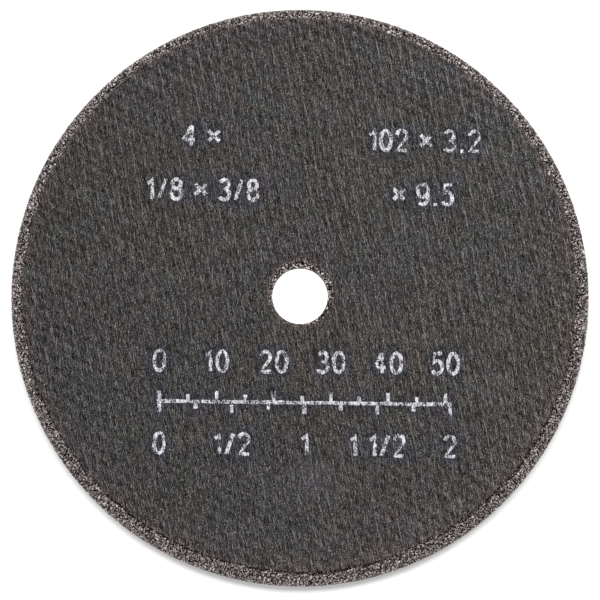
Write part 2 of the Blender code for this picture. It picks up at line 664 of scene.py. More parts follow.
@dataclass(frozen=True)
class FacingFinish(Finish):
    """The smooth facing: pressed dark fibre, near black in its slits, with pale fibres and slow tints."""

    tones: Stops = (
        (0.00, (0.0025, 0.0010, 0.0005, 1.0)),
        (1.00, (0.250, 0.238, 0.234, 1.0)),
        (0.25, (0.0085, 0.0063, 0.0056, 1.0)),
        (0.50, (0.032, 0.0284, 0.0273, 1.0)),
        (0.75, (0.088, 0.0822, 0.0805, 1.0)),
    )
    tone_range: Pair = (0.364, 0.643)
    fibre: Colour = (0.300, 0.288, 0.282, 1.0)
    fibre_width: float = 0.17
    fibre_length: float = 1.0
    fibre_share: float = 0.3
    slit_depth: float = 0.85
    speckle: float = 0.17
    streak_share: float = 0.28
    speckle_share: float = 0.50
    rib_share: float = 0.043
    ripple_share: float = 0.0108
    rib_height: float = 0.5

    # Slow patches from brown to blue, finer coloured patches, and painted light: a lean of the tone for
    # each mm, paler towards +X and -Y
    warmth: Point = (0.08, 0.0, -0.22)
    warm_scale: float = 0.035
    tint: Point = (0.56, 0.06, 0.66)
    tint_noise: Point = (0.14, 4.0, 1.0)
    paler_way: Point = (0.0020, -0.0007, 0.0)

    # Where the ink's carrier soaked in, and a faint smudge of it
    soaked: Colour = (0.72, 0.77, 0.96, 1.0)
    smudge: Colour = (0.72, 0.66, 0.98, 1.0)
    smudge_share: float = 0.027

    # The facing's edge, its lower border with a painted paler band, the grit that shows there and glints
    # all over, and a painted shadow under its lower edge
    edge: Colour = (1.21, 1.06, 0.98, 1.0)
    border: Colour = (1.25, 1.17, 1.16, 1.0)
    grit_size: float = 0.3
    glint: Colour = (0.600, 0.570, 0.550, 1.0)
    glint_sharpness: float = 5.0
    bond: Colour = (0.003, 0.002, 0.002, 1.0)
    grain: Colour = (0.330, 0.292, 0.280, 1.0)
    grain_range: Pair = (0.24, 0.44)
    grit_share: float = 0.8
    bare_from: Pair = (1.03, 1.12)
    lip_range: Pair = (0.05, 0.4)
    gap_range: Pair = (0.36, 0.32)
    gap_depth: float = 0.95

    def pressed(self, graph: Graph, effects: Effects, place: Socket) -> tuple[Socket, Socket, Socket]:
        """Builds the pressed fibre, which the ink also needs where it has worn through.

        Args:
            graph: The material's graph.
            effects: The shared node groups.
            place: The surface's place.

        Returns:
            The colour, the tone it comes from and the height of the pressed fibre.
        """
        widths = {"Width": self.fibre_width, "Length": self.fibre_length, "Speckle": self.speckle}
        mat = graph.use(effects.fibres, Place=place, **widths)
        cloth = graph.use(effects.cloth, Place=place)
        tone = graph.math("MULTIPLY", mat["Streak"], self.streak_share)
        for layer, share in (
            (mat["Speckle"], self.speckle_share),
            (mat["Cloud"], 1.0 - self.streak_share - self.speckle_share),
            (cloth["Rib"], self.rib_share),
            (cloth["Ripple"], self.ripple_share),
        ):
            tone = graph.math("MULTIPLY_ADD", layer, share, tone)
        shade = graph.ramp(graph.spread(tone, *self.tone_range), self.tones)
        shade = graph.show(shade, mat["Fibre"], self.fibre_share, self.fibre)
        shade = graph.show(shade, mat["Slit"], self.slit_depth, self.tones[0][1])
        patches = graph.noise(place, *self.tint_noise, out="Color")
        tint = graph.vector("MULTIPLY_ADD", graph.vector("SUBTRACT", patches, MIDDLE), self.tint, ONE)
        drift = graph.math("SUBTRACT", graph.noise(place, self.warm_scale), 0.5)
        tint = graph.vector("ADD", tint, graph.vector("MULTIPLY", self.warmth, drift))
        # Painted light: the facing grows paler towards +X and a little towards -Y
        tint = graph.vector("ADD", tint, graph.vector("DOT_PRODUCT", place, self.paler_way))
        height = graph.math("MULTIPLY_ADD", cloth["Rib"], self.rib_height, tone)
        return graph.blend(1.0, shade, tint, "MULTIPLY"), tone, height

    def surface(self, graph: Graph, effects: Effects, place: Socket) -> tuple[Socket, Socket]:
        """Builds the facing with its stains, its glints, its worn edge, and the painted shadow and
        painted paler band along its lower edge, as in Finish.
        """
        colour, _, height = self.pressed(graph, effects, place)
        colour = graph.tint(colour, graph.note("soaked"), self.soaked)
        colour = graph.show(colour, graph.note("smudge"), self.smudge_share, self.smudge)
        edge = graph.note("edge")
        colour = graph.tint(colour, edge, self.edge)
        # Painted light: a paler band along the facing's lower border
        colour = graph.tint(colour, graph.note("border"), self.border)
        broken = graph.use(effects.grit, Place=place, Size=self.grit_size)
        glint = graph.math("POWER", broken["Speck"], self.glint_sharpness)
        colour = graph.blend(glint, colour, self.glint)
        grit = broken["Height"]
        grain = graph.blend(graph.spread(grit, *self.grain_range), self.bond, self.grain)
        worn = graph.math("MULTIPLY_ADD", grit, self.grit_share, edge)
        colour = graph.blend(graph.spread(worn, *self.bare_from), colour, grain)
        # Painted shadow under the facing's lower edge, broken by the grit, in the bond's near-black
        # colour
        lip = graph.spread(graph.note("lip"), *self.lip_range)
        broken_edge_shadow = graph.math("MULTIPLY", lip, graph.spread(grit, *self.gap_range))
        return graph.show(colour, broken_edge_shadow, self.gap_depth, self.bond), height


@dataclass(frozen=True)
class InkFinish(FacingFinish):
    """Worn stamping ink: pale with a touch of lilac, and gone where the fibre under it lies low."""

    bump: float = 0.8
    ink: Colour = (0.92, 0.92, 0.97, 1.0)
    thin_ink: Colour = (0.30, 0.30, 0.33, 1.0)
    wear: tuple[Pair, ...] = ((0.9, 1.0), (3.4, 2.0))
    wear_share: float = 0.45
    pale_range: Pair = (0.90, 1.07)
    kept_range: Pair = (0.85, 0.91)

    def surface(self, graph: Graph, effects: Effects, place: Socket) -> tuple[Socket, Socket]:
        """Builds the ink over the pressed fibre, as in Finish."""
        bare, kept, height = self.pressed(graph, effects, place)
        for scale, detail in self.wear:
            patch = graph.noise(place, scale, detail)
            kept = graph.math("MULTIPLY_ADD", patch, self.wear_share, kept)
        pale = graph.blend(graph.spread(kept, *self.pale_range), self.thin_ink, self.ink)
        return graph.blend(graph.spread(kept, *self.kept_range), bare, pale), height


@dataclass(frozen=True)
class BondFinish(Finish):
    """The resin bond between the grains: nearly black in its hollows, from dust and painted shade, and
    browner on its tops.
    """

    relief: float = 0.08
    grit_size: float = 0.22
    grit_share: float = 0.8
    hollow: Colour = (0.003, 0.003, 0.003, 1.0)
    top: Colour = (0.190, 0.163, 0.156, 1.0)
    speck: Colour = (0.55, 0.49, 0.47, 1.0)
    height_range: Pair = (0.64, 1.27)

    def surface(self, graph: Graph, effects: Effects, place: Socket) -> tuple[Socket, Socket]:
        """Builds the bond, darker the deeper it lies, from dust and painted shade, as in Finish."""
        grit = graph.use(effects.grit, Place=place, Size=self.grit_size)
        # Dust and painted shade: the deeper the bond lies, the darker it is
        height = graph.math("MULTIPLY_ADD", grit["Height"], self.grit_share, graph.note("relief"))
        shade = graph.blend(graph.spread(height, *self.height_range), self.hollow, self.top)
        return graph.blend(grit["Speck"], shade, self.speck), grit["Height"]


@dataclass(frozen=True)
class GrainFinish(Finish):
    """The abrasive grains: each has its own tone, from dark brown to pale pinkish beige, and on the upper
    side a wider swing of tone as painted light and shade.
    """

    bump: float = 0.7
    tones: Stops = (
        (0.00, (0.038, 0.032, 0.030, 1.0)),
        (1.00, (0.960, 0.890, 0.866, 1.0)),
        (0.30, (0.232, 0.200, 0.191, 1.0)),
        (0.60, (0.450, 0.393, 0.377, 1.0)),
        (0.85, (0.690, 0.616, 0.593, 1.0)),
    )
    mottle: Pair = (0.5, -0.15)
    mottle_size: float = 0.14

    def surface(self, graph: Graph, effects: Effects, place: Socket) -> tuple[Socket, Socket]:
        """Builds the grains' tones and mottle, as in Finish."""
        grit = graph.use(effects.grit, Place=place, Size=self.mottle_size)["Height"]
        mottle = graph.math("MULTIPLY_ADD", grit, *self.mottle)
        return graph.ramp(graph.math("ADD", graph.note("tone"), mottle, clamp=True), self.tones), grit


def evenly(first: Pair, last: Pair, length: float) -> Outline:
    """Divides a straight stretch into steps of about one length.

    Args:
        first: Where the stretch starts.
        last: Where it ends.
        length: The length of a step.

    Returns:
        The points, with both ends.
    """
    steps = max(1, round(math.dist(first, last) / length))
    return [
        tuple(a + (b - a) * step / steps for a, b in zip(first, last)) for step in range(steps + 1)
    ]


def arc(middle: Pair, radii: Pair, start: float, end: float, steps: int = 12) -> Outline:
    """Finds points along part of an ellipse.

    Args:
        middle: The ellipse's centre.
        radii: Its half width and half height.
        start: The first point's angle, in degrees.
        end: The last point's angle.
        steps: How many steps lie between them.

    Returns:
        The points, with both ends.
    """
    turns = [math.radians(start + (end - start) * step / steps) for step in range(steps + 1)]
    return [(middle[0] + radii[0] * math.cos(t), middle[1] + radii[1] * math.sin(t)) for t in turns]


@dataclass
class BondedCore:
    """The wheel's bare body: the rough bond at the rim, in the bore and under the facings."""

    sizes: WheelSizes
    spin_steps: int = 15
    row_length: float = 0.3
    break_rows: int = 3
    buried: float = 0.7

    # The bond is rough to this far inside the facing's edges, and less so on the trued band
    rough_under_edge: float = 0.9
    rough_under_hole: float = 0.5
    trued_from: float = 0.1
    trued_share: float = 0.45
    cell_size: float = 0.55
    broken_size: float = 0.35
    depth: float = 0.16
    deepest: float = 0.3

    def rim_outline(self) -> Outline:
        """Finds the section of the bare rim, from under the front facing round to the back one.

        Returns:
            Points (radius, height), about a row's length apart.
        """
        s = self.sizes
        start = s.facing_radius - math.hypot(*s.front_shift) - self.buried
        upper = evenly((start, s.grain_top), (s.shoulder_radius, s.grain_top), self.row_length)
        bend = math.pi / 4 * (s.shoulder_width + s.shoulder_depth)
        rows = round(bend / self.row_length)
        for row in range(1, rows + 1):
            turn = math.pi / 2 * row / rows
            radius = s.shoulder_radius + s.shoulder_width * math.sin(turn)
            upper.append((radius, s.grain_top - s.shoulder_depth * (1 - math.cos(turn))))
        return self.mirrored(upper)

    def bore_outline(self) -> Outline:
        """Finds the section of the bore, from under the back facing up to the front one.

        Returns:
            Points (radius, height).
        """
        s = self.sizes
        mouth = s.bore_radius + s.bore_break
        start = s.facing_hole_radius + self.buried
        lower = evenly((start, s.facing_rise), (mouth, s.facing_rise), self.row_length)
        for row in range(1, self.break_rows + 1):
            turn = math.pi / 2 * row / self.break_rows
            radius = mouth - s.bore_break * math.sin(turn)
            lower.append((radius, s.facing_rise + s.bore_break * (1 - math.cos(turn))))
        return self.mirrored(lower)

    def mirrored(self, half: Outline) -> Outline:
        """Goes on from one half of a section with its straight wall and its other half.

        Args:
            half: The half that is drawn.

        Returns:
            The whole section.
        """
        other = [(radius, self.sizes.thickness - height) for radius, height in reversed(half)]
        return half + evenly(half[-1], other[0], self.row_length)[1:-1] + other

    def build(self, material: bpy.types.Material) -> Piece:
        """Spins the section, roughens it and notes how high each point of it stands.

        Args:
            material: The bond's material.

        Returns:
            The finished piece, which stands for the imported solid.
        """
        s = self.sizes
        outline = self.rim_outline() + self.bore_outline()
        outline.append(outline[0])
        piece = Bench.draw("bonded_core", [(radius, 0.0, height) for radius, height in outline])
        Bench.spin(self.spin_steps)

        smooth = Bench.places(piece)
        radius = np.hypot(smooth[:, 0], smooth[:, 1])
        outer = radius > s.facing_radius - self.rough_under_edge
        inner = radius < s.facing_hole_radius + self.rough_under_hole
        share = np.where(radius > s.rim_radius - self.trued_from, self.trued_share, 1.0)
        group = Bench.weigh(piece, "bare", np.where(outer | inner, share, 0.0))
        cells = {"weight_1": -1.0, "weight_2": 1.0, "noise_intensity": 1.3}
        Bench.roughen(piece, group, self.depth, "grain_cells", "VORONOI", self.cell_size, **cells)
        Bench.roughen(
            piece, group, self.depth, "broken_bond", "CLOUDS", self.broken_size, noise_depth=2
        )

        sunk = np.linalg.norm(Bench.places(piece) - smooth, axis=1)
        Bench.note(piece, "relief", 1.0 - np.clip(sunk / self.deepest, 0.0, 1.0))
        piece.data.shade_smooth()
        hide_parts(WHEEL_NODE)
        return Bench.finish(piece, material)


class GrainShape(Enum):
    """The sorts of grain: crystals with twenty faces, chips with six and splinters with four."""

    CRYSTAL = "crystal"
    CHIP = "chip"
    SPLINTER = "splinter"

    def start(self) -> Piece:
        """Adds the primitive that the grain is broken from.

        Returns:
            The primitive.
        """
        bpy.ops.object.select_all(action="DESELECT")
        if self is GrainShape.CRYSTAL:
            bpy.ops.mesh.primitive_ico_sphere_add(subdivisions=1)
        elif self is GrainShape.CHIP:
            bpy.ops.mesh.primitive_cube_add()
        else:
            bpy.ops.mesh.primitive_cone_add(vertices=3, radius1=1.0, depth=1.3)
        return bpy.context.object


@dataclass
class GrainField:
    """Angular abrasive grains set in the bare bond along one section of the wheel."""

    name: str
    sizes: WheelSizes
    outline: Outline
    spacing: float
    reach: Pair
    sunk: Pair
    shape: GrainShape = GrainShape.CRYSTAL
    seed: int = 36
    shift: Pair = (0.0, 0.0)
    fading: bool = False

    # How many shapes there are, how far each is broken, and how it is flattened and drawn out
    shape_count: int = 8
    broken: float = 0.4
    flattened: Pair = (0.80, 0.68)
    drawn_out: float = 0.08

    # How far a grain strays from its even seat, and how far each row is turned from the last
    stray: float = 0.42
    row_turn: float = 2.4
    proud: float = 0.06

    # Grains on the upper side get a wider swing of tone as painted light and shade, from here on, but not
    # at the wall
    upper_contrast: float = 0.32
    upper_from: float = -0.3
    calm_wall: float = 0.3

    def shapes(self) -> tuple[np.ndarray, np.ndarray]:
        """Models the grains' few shapes from a primitive, drawn out and broken at random.

        Returns:
            The shapes' points, about 1 in radius, and the faces that they all share.
        """
        found = []
        faces = np.empty(0, int)
        for index in range(self.shape_count):
            grain = self.shape.start()
            bpy.ops.object.mode_set(mode="EDIT")
            bpy.ops.mesh.select_all(action="SELECT")
            bpy.ops.transform.vertex_random(offset=self.broken, seed=index + 1)
            bpy.ops.transform.resize(value=(1.0 + self.drawn_out * index, *self.flattened))
            bpy.ops.object.mode_set(mode="OBJECT")
            points = Bench.places(grain) * MM
            found.append(points / np.linalg.norm(points, axis=1).mean())
            faces = np.array([tuple(face.vertices) for face in grain.data.polygons])
            bpy.data.objects.remove(grain)
        return np.array(found), faces

    def seats(self, random: np.random.Generator) -> tuple[np.ndarray, np.ndarray]:
        """Spreads the grains' places over the surface.

        Args:
            random: The generator that draws them.

        Returns:
            Each grain's place and the surface's outward direction there.
        """
        outline = np.array(self.outline)
        steps = np.diff(outline, axis=0)
        lengths = np.hypot(*steps.T)
        along = np.concatenate([[0.0], np.cumsum(lengths)])
        places, outward = [], []
        for row in range(round(along[-1] / self.spacing)):
            middle = (row + 0.5) * self.spacing
            count = round(math.tau * np.interp(middle, along, outline[:, 0]) / self.spacing)
            stray = random.uniform(-self.stray, self.stray, count)
            turn = (np.arange(count) + stray) * math.tau / count + row * self.row_turn
            walked = middle + random.uniform(-self.stray, self.stray, count) * self.spacing
            walked = np.clip(walked, 0.0, along[-1] * 0.9999)
            which = np.searchsorted(along, walked, side="right") - 1
            way = steps[which] / lengths[which, None]
            r, z = (np.interp(walked, along, outline[:, axis]) for axis in (0, 1))
            if self.fading:
                kept = random.uniform(0.0, 1.0, count) < (walked / along[-1]) ** 2
                turn, way, r, z = turn[kept], way[kept], r[kept], z[kept]
            cos, sin = np.cos(turn), np.sin(turn)
            places.append(np.stack([r * cos + self.shift[0], r * sin + self.shift[1], z], 1))
            outward.append(np.stack([-way[:, 1] * cos, -way[:, 1] * sin, way[:, 0]], 1))
        return np.concatenate(places), np.concatenate(outward)

    def build(self, material: bpy.types.Material) -> Piece:
        """Sets the grains in the bond as one piece, each with a tone of its own, swung wider on the upper
        side as painted light and shade.

        Args:
            material: The grains' material.

        Returns:
            The finished piece.
        """
        random = np.random.default_rng(self.seed)
        shapes, faces = self.shapes()
        places, outward = self.seats(random)
        count, size = len(places), shapes.shape[1]
        grains = shapes[random.integers(0, self.shape_count, count)]
        reach = random.uniform(*self.reach, (count, 1, 1))
        grains = np.einsum("gij,gkj->gki", random_turns(random, count), grains) * reach
        sunk = random.uniform(*self.sunk, (count, 1))
        points = self.trim((grains + (places - outward * sunk)[:, None, :]).reshape(-1, 3))

        corners = (faces[None] + np.arange(count)[:, None, None] * size).reshape(-1, faces.shape[1])
        mesh = bpy.data.meshes.new(self.name)
        mesh.from_pydata((points * MM).tolist(), [], corners.tolist())
        piece = Bench.bring(self.name, mesh)
        rim = self.sizes.rim_radius
        # Painted light and shade: grains on the upper side get a wider tone swing
        upper = np.clip(places[:, 1] / rim - self.upper_from, 0.0, 1.0)
        upper[np.hypot(places[:, 0], places[:, 1]) > rim - self.calm_wall] = 0.0
        tone = 0.5 + random.uniform(-0.5, 0.5, count) * (1.0 + self.upper_contrast * upper)
        Bench.note(piece, "tone", np.repeat(np.clip(tone, 0.0, 1.0), size))
        return Bench.finish(piece, material)

    def trim(self, points: np.ndarray) -> np.ndarray:
        """Dresses the grains' tops back to the wheel's own outline.

        Args:
            points: The grains' points.

        Returns:
            The points, none of them outside the wheel.
        """
        s = self.sizes
        radius = np.hypot(points[:, 0], points[:, 1])
        points[:, :2] *= (np.clip(radius, s.bore_radius, s.rim_radius) / radius)[:, None]
        high = s.grain_top + self.proud
        points[:, 2] = np.clip(points[:, 2], s.thickness - high, high)
        return points


def random_turns(random: np.random.Generator, count: int) -> np.ndarray:
    """Makes evenly spread random rotations.

    Args:
        random: The generator that draws them.
        count: How many.

    Returns:
        A rotation matrix for each.
    """
    q = random.normal(size=(count, 4))
    q /= np.linalg.norm(q, axis=1, keepdims=True)
    w, x, y, z = q.T
    rows = [
        [1 - 2 * (y * y + z * z), 2 * (x * y - z * w), 2 * (x * z + y * w)],
        [2 * (x * y + z * w), 1 - 2 * (x * x + z * z), 2 * (y * z - x * w)],
        [2 * (x * z - y * w), 2 * (y * z + x * w), 1 - 2 * (x * x + y * y)],
    ]
    return np.moveaxis(np.array(rows), 2, 0)


@dataclass
class Facing:
    """One smooth facing: a thin fibrous disc with a hole, ragged at both edges."""

    # How many corners each broken line of an edge has in one turn, and how far it strays
    OUTER_WAVES = ((9, 0.10), (37, 0.18), (110, 0.24), (240, 0.18), (415, 0.12))
    INNER_WAVES = ((5, 0.10), (17, 0.14), (52, 0.12))

    sizes: WheelSizes
    side: Side
    shift: Pair = (0.0, 0.0)
    hole_shift: float = 0.0
    hole_tightened: float = 0.12
    bore_gap: float = 0.05
    rings: int = 84
    spin_steps: int = 13
    seat: float = 0.16
    sharp_from: float = math.radians(50)

    # How far in from its edges the facing is torn and worn, how far the painted shadow under its edge and
    # its painted paler band reach, and how both grow towards the lower side
    torn_width: float = 1.2
    edge_width: float = 1.1
    lip_width: float = 0.5
    border_width: float = 6.0
    lift_share: float = 0.4
    lift_swing: float = 0.7

    # How much thinner the torn edge is, and the unevenness of the pressed face
    thinned: float = 0.05
    relief: float = 0.025
    level: float = 0.01
    wave_sizes: tuple[tuple[str, float], ...] = (("slow_waves", 1.9), ("small_dents", 0.8))

    def build(self, material: bpy.types.Material) -> Piece:
        """Spins the facing, tears its edges a little and presses its surface uneven.

        Args:
            material: The facing's material.

        Returns:
            The finished piece.
        """
        s = self.sizes
        inner, outer = s.facing_hole_radius, s.facing_radius
        top, bottom = s.thickness, s.thickness - s.facing_rise - self.seat
        name = f"{self.side.name.lower()}_facing"
        piece = Bench.draw(name, [(inner, 0.0, bottom), (inner, 0.0, top)])
        for _ in range(self.rings):
            Bench.extrude(((outer - inner) / self.rings * MM, 0.0, 0.0))
        Bench.extrude((0.0, 0.0, (bottom - top) * MM))
        Bench.extrude(((inner - outer) * MM, 0.0, 0.0))
        Bench.spin(self.spin_steps)
        self.tear(piece)
        self.press(piece)
        places = Bench.places(piece)
        places[:, :2] += self.shift
        radius = np.hypot(places[:, 0], places[:, 1])
        places[:, :2] *= (np.maximum(radius, s.bore_radius + self.bore_gap) / radius)[:, None]
        places[:, 2] = np.clip(places[:, 2], 0.0, s.thickness)
        if self.side is Side.BACK:
            places[:, 2] = s.thickness - places[:, 2]
            piece.data.flip_normals()
        Bench.put(piece, places)
        piece.data.shade_smooth()
        piece.data.set_sharp_from_angle(angle=self.sharp_from)
        return Bench.finish(piece, material)

    def tear(self, piece: Piece) -> None:
        """Moves the rings near both edges in and out, thins the facing there and notes its wear, and
        where a painted shadow and a painted paler band lie along its lower edge.

        Args:
            piece: The facing.
        """
        places = Bench.places(piece)
        turn = np.arctan2(places[:, 1], places[:, 0])
        radius = np.hypot(places[:, 0], places[:, 1])
        to_edge = self.sizes.facing_radius - radius
        to_hole = radius - self.sizes.facing_hole_radius
        random = np.random.default_rng(7 + self.side.value)
        outer = ragged(turn, random, self.OUTER_WAVES)
        inner = ragged(turn, random, self.INNER_WAVES) - self.hole_tightened
        near_edge, near_hole = (near(away, self.torn_width) ** 2 for away in (to_edge, to_hole))
        moved = radius + outer * near_edge + inner * near_hole
        on_top = places[:, 2] > self.sizes.thickness - self.level
        places[:, :2] *= (moved / radius)[:, None]
        places[:, 0] += self.hole_shift * near_hole
        places[:, 2] -= np.where(on_top, self.thinned * np.maximum(near_edge, near_hole), 0.0)
        Bench.put(piece, places)
        # Painted light and shade: the shadow under the edge and the paler band grow towards the lower
        # side (-Y)
        lower_side = np.clip(self.lift_share - self.lift_swing * np.sin(turn), 0.0, 1.0)
        Bench.note(piece, "edge", near(np.minimum(to_edge, to_hole), self.edge_width))
        Bench.note(piece, "lip", near(to_edge, self.lip_width) * lower_side)
        Bench.note(piece, "border", near(to_edge, self.border_width) * lower_side)

    def press(self, piece: Piece) -> None:
        """Gives the facing the low unevenness of pressed fibre.

        Args:
            piece: The facing.
        """
        on_top = Bench.places(piece)[:, 2] > self.sizes.thickness - self.thinned - self.level
        group = Bench.weigh(piece, "pressed", np.where(on_top, 1.0, 0.0))
        for name, size in self.wave_sizes:
            Bench.roughen(piece, group, self.relief, name, "CLOUDS", size, noise_depth=1)


def near(away: np.ndarray, width: float) -> np.ndarray:
    """Gives 1 for what isn't away at all, falling to 0 at the width."""
    return np.clip(1 - away / width, 0.0, 1.0)


def ragged(
    turn: np.ndarray, random: np.random.Generator, waves: Sequence[tuple[int, float]]
) -> np.ndarray:
    """Adds up broken lines round the wheel into one uneven line.

    Args:
        turn: The angle of each point.
        random: The generator that draws the lines' corners.
        waves: How many corners each line has in one turn, and how far it strays.

    Returns:
        A distance for each point.
    """
    total = np.zeros_like(turn)
    for corners, reach in waves:
        corner_turns = np.arange(corners) * math.tau / corners
        strays = random.uniform(-reach, reach, corners)
        total += np.interp(turn, corner_turns, strays, period=math.tau)
    return total


# The centre lines of plain figures one unit high, each with its width
TIMES = "\u00d7"
HOOK = arc((0.27, 0.62), (0.27, 0.38), 50, 180, 8) + [(0.0, 0.32)]
FIGURES: dict[str, tuple[float, list[Outline]]] = {
    "0": (0.50, [arc((0.25, 0.50), (0.25, 0.50), 0, 360, 20)]),
    "1": (0.28, [[(0.0, 0.77), (0.14, 0.85), (0.25, 1.0), (0.25, 0.5), (0.25, 0.0)]]),
    "2": (0.50, [arc((0.24, 0.73), (0.24, 0.27), 170, -30) + [(0.0, 0.0), (0.25, 0.0), (0.50, 0.0)]]),
    "3": (0.49, [arc((0.23, 0.76), (0.21, 0.24), 155, -85) + arc((0.23, 0.26), (0.26, 0.26), 85, -155)]),
    "4": (
        0.54,
        [
            [(0.38, 0.0), (0.38, 0.5), (0.38, 1.0)],
            [(0.38, 1.0), (0.0, 0.28)],
            [(0.0, 0.28), (0.54, 0.28)],
        ],
    ),
    "5": (
        0.49,
        [[(0.46, 1.0), (0.12, 1.0), (0.05, 0.52)] + arc((0.235, 0.32), (0.255, 0.32), 120, -150)],
    ),
    "6": (0.50, [HOOK, arc((0.25, 0.31), (0.25, 0.31), 0, 360, 16)]),
    "7": (0.50, [[(0.0, 1.0), (0.50, 1.0), (0.30, 0.62), (0.18, 0.0)]]),
    "8": (
        0.50,
        [
            arc((0.25, 0.765), (0.20, 0.235), 0, 360, 14),
            arc((0.25, 0.27), (0.25, 0.27), 0, 360, 16),
        ],
    ),
    "9": (
        0.50,
        [[(0.5 - x, 1 - y) for x, y in HOOK], arc((0.25, 0.69), (0.25, 0.31), 0, 360, 16)],
    ),
    TIMES: (0.54, [[(0.0, 0.23), (0.54, 0.77)], [(0.0, 0.77), (0.54, 0.23)]]),
    "/": (0.34, [[(0.0, 0.0), (0.17, 0.5), (0.34, 1.0)]]),
    ".": (0.15, [[(0.0, 0.0), (0.15, 0.0)]]),
    " ": (0.10, []),
}


@dataclass
class Print:
    """The stamped numbers on the front facing: the wheel's sizes above the bore and a scale below it.

    Each row holds its name, its middle and its items, which are figures with the place of their
    own middle along the row.
    """

    sizes: WheelSizes
    figure_height: float = 4.25
    stroke: float = 0.72
    letter_gap: float = 0.29
    slope: float = math.radians(-0.7)
    shake: float = 0.035
    swell: float = 0.14
    skin: float = 0.004
    dome: float = 0.03
    depth: float = 0.1
    scale_length: float = 50.0
    inch: float = 25.4
    long_mark: float = 1.9
    short_mark: float = 1.25
    mark_step: float = 1.2
    marks_middle: Pair = (0.4, -18.7)
    seed: int = 11

    # How far the ink's carrier soaked into the facing, and where a smudge of it lies
    soak_reach: float = 2.0
    soak_fall: float = 1.3
    smudge_middle: Pair = (2.2, -32.1)
    smudge_reach: Pair = (2.9, 2.3)

    def rows(self) -> dict[str, tuple[Pair, list[tuple[str, float]]]]:
        """Lists the rows of figures.

        Returns:
            Each row's name, with its middle and its items.
        """
        start = -self.scale_length / 2
        inches = ("0", "1/2", "1", "1 1/2", "2")
        return {
            "inch_diameter": ((-17.3, 28.2), [(f"4 {TIMES}", 0.0)]),
            "inch_sizes": ((-17.1, 18.7), [(f"1/8 {TIMES} 3/8", 0.0)]),
            "metric_sizes": ((21.9, 27.3), [(f"102 {TIMES} 3.2", 0.0)]),
            "metric_bore": ((21.6, 17.8), [(f"{TIMES} 9.5", 0.0)]),
            "metric_scale": ((0.4, -11.6), [(str(mm), start + mm) for mm in range(0, 51, 10)]),
            "inch_scale": (
                (0.4, -26.0),
                [(text, start + half * self.inch / 2) for half, text in enumerate(inches)],
            ),
        }

    def set_figures(self, text: str, middle: float) -> list[Outline]:
        """Sets one item's figures side by side.

        Args:
            text: The figures.
            middle: Where the item's middle lies along the row.

        Returns:
            The centre lines of its strokes, about the row's middle.
        """
        unit = self.figure_height - self.stroke
        width = sum(FIGURES[figure][0] for figure in text) + self.letter_gap * (len(text) - 1)
        pen = -width / 2
        strokes = []
        for figure in text:
            own_width, lines = FIGURES[figure]
            for line in lines:
                strokes.append([((pen + x) * unit + middle, (y - 0.5) * unit) for x, y in line])
            pen += own_width + self.letter_gap
        return strokes

    def ticks(self) -> list[Outline]:
        """Draws the line between the two scales, with its marks on both sides.

        Returns:
            The centre lines of its strokes, about the row's middle.
        """
        start = -self.scale_length / 2
        half = self.stroke / 2
        ends = (start - half, 0.0), (start + 2 * self.inch + half, 0.0)
        strokes = [evenly(*ends, self.mark_step)]
        for count, step, side in ((11, self.scale_length / 10, 1), (9, self.inch / 4, -1)):
            for mark in range(count):
                x = start + mark * step
                reach = self.long_mark if mark % 2 == 0 else self.short_mark
                strokes.append([(x, 0.0), (x, side * reach)])
        return strokes

    def stamp(
        self, name: str, strokes: list[Outline], middle: Pair, material: bpy.types.Material
    ) -> Piece:
        """Draws strokes of uneven width and lays them on the facing as a thin domed skin of ink.

        Args:
            name: The piece's name.
            strokes: The centre lines of the strokes, about the row's middle.
            middle: Where the row's middle lies.
            material: The ink.

        Returns:
            The finished piece.
        """
        random = np.random.default_rng(self.seed + len(strokes))
        shaken = []
        for stroke in strokes:
            line = np.array(stroke) + random.uniform(-self.shake, self.shake, (len(stroke), 2))
            if math.dist(stroke[0], stroke[-1]) < self.shake:
                line[-1] = line[0]
            shaken.append([(x, y, 0.0) for x, y in line])
        piece = Bench.draw(name, *shaken)
        bpy.ops.mesh.select_all(action="SELECT")
        bpy.ops.mesh.remove_doubles(threshold=2 * Bench.WELD)
        bpy.ops.object.mode_set(mode="OBJECT")
        bpy.ops.object.convert(target="CURVE")
        curve = piece.data
        curve.bevel_depth = self.stroke / 2 * MM
        curve.bevel_resolution = 2
        curve.use_fill_caps = True
        for spline in curve.splines:
            for point in spline.points:
                point.radius = 1.0 + random.uniform(-self.swell, self.swell)
        bpy.ops.object.convert(target="MESH")
        piece.data.name = name
        bpy.ops.object.mode_set(mode="EDIT")
        Bench.close_up()

        flat = Bench.places(piece)
        cos, sin = math.cos(self.slope), math.sin(self.slope)
        x = flat[:, 0] * cos - flat[:, 1] * sin + middle[0]
        y = flat[:, 0] * sin + flat[:, 1] * cos + middle[1]
        height = np.clip(flat[:, 2] / (self.stroke / 2), -1.0, 1.0)
        top = self.sizes.thickness - self.skin
        z = top - self.dome * (1 - np.maximum(height, 0.0)) + self.depth * np.minimum(height, 0.0)
        Bench.put(piece, np.stack([x, y, z], 1))
        piece.data.shade_smooth()
        return Bench.finish(piece, material)

    def build(self, material: bpy.types.Material) -> list[Piece]:
        """Stamps every row.

        Args:
            material: The ink.

        Returns:
            The finished pieces.
        """
        pieces = []
        for name, (middle, items) in self.rows().items():
            strokes = [line for text, along in items for line in self.set_figures(text, along)]
            pieces.append(self.stamp(name, strokes, middle, material))
        pieces.append(self.stamp("scale_marks", self.ticks(), self.marks_middle, material))
        return pieces

